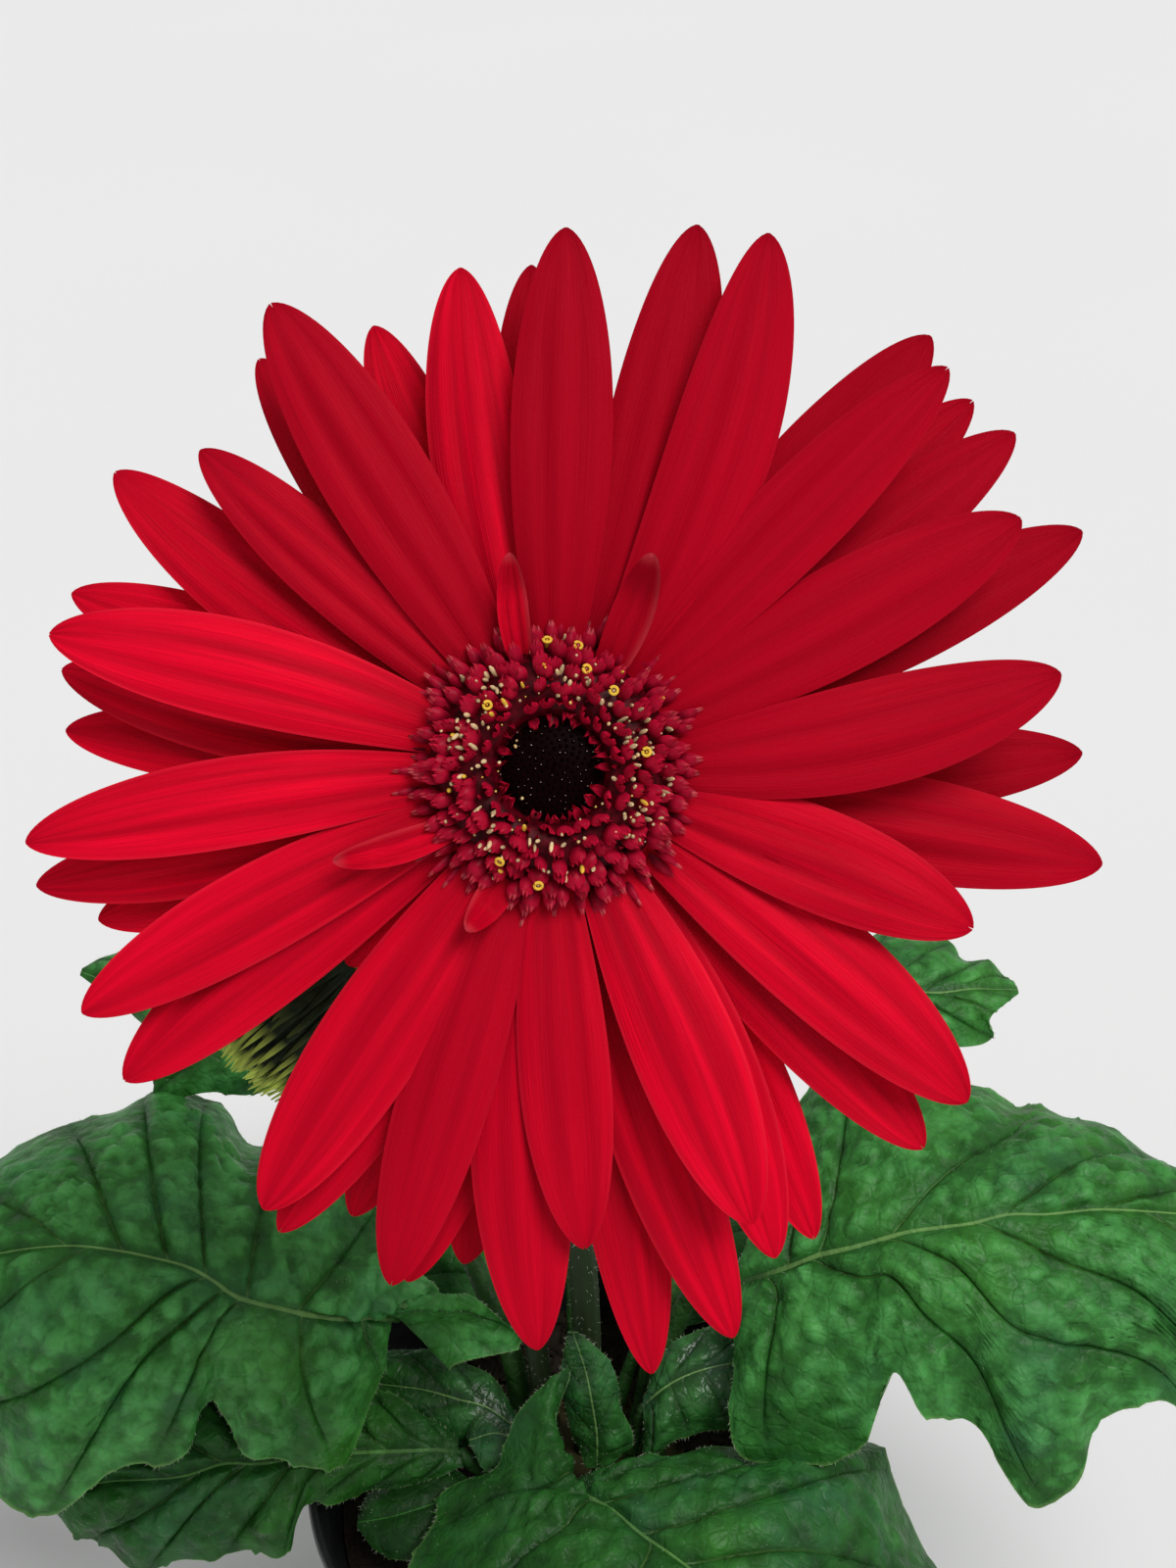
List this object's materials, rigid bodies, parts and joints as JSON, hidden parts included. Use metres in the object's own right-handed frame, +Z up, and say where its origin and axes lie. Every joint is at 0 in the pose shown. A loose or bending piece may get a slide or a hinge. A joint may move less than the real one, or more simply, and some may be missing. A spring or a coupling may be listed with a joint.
{
  "type": "potted gerbera",
  "caption": "Potted gerbera daisy: a tapered nursery pot of soil, a crown of lobed quilted leaves, an open many-petalled bloom on a bent scape and a nodding bud.",
  "frame": {"origin": "centre of the pot's flat base, on its underside, where it stands", "axes": "+Z up out of the pot; -Y is the front, where the bloom faces; +X is to the viewer's right"},
  "size_m": [0.2754, 0.227, 0.3194],
  "materials": {
    "pot_plastic": "satin",
    "potting_mix": "matte",
    "crown": "matte",
    "petal_red": "satin",
    "floret_crimson": "satin",
    "eye_dark": "matte",
    "bract_green": "matte",
    "stem_green": "satin",
    "leaf_green": "satin",
    "leaf_young": "gloss"
  },
  "bodies": {
    "root": {"pot": "pot_plastic", "potting_mix": "potting_mix", "crown": "crown", "bloom_rays": "petal_red", "bloom_florets": "floret_crimson", "bloom_eye": "eye_dark", "bloom_involucre": "bract_green", "bloom_stalk": "stem_green", "bud_head": "bract_green", "bud_stalk": "stem_green", "leaf_right": "leaf_green", "leaf_left": "leaf_green", "leaf_front": "leaf_green", "leaf_front_left": "leaf_green", "leaf_right_back": "leaf_green", "leaf_left_back": "leaf_green", "leaf_back": "leaf_green", "leaf_mid_left": "leaf_green", "leaf_mid_right": "leaf_green", "leaf_low_left": "leaf_green", "leaf_young_left": "leaf_young", "leaf_young_front_left": "leaf_young", "leaf_young_centre": "leaf_young", "leaf_young_right": "leaf_young"}
  },
  "joints": []
}
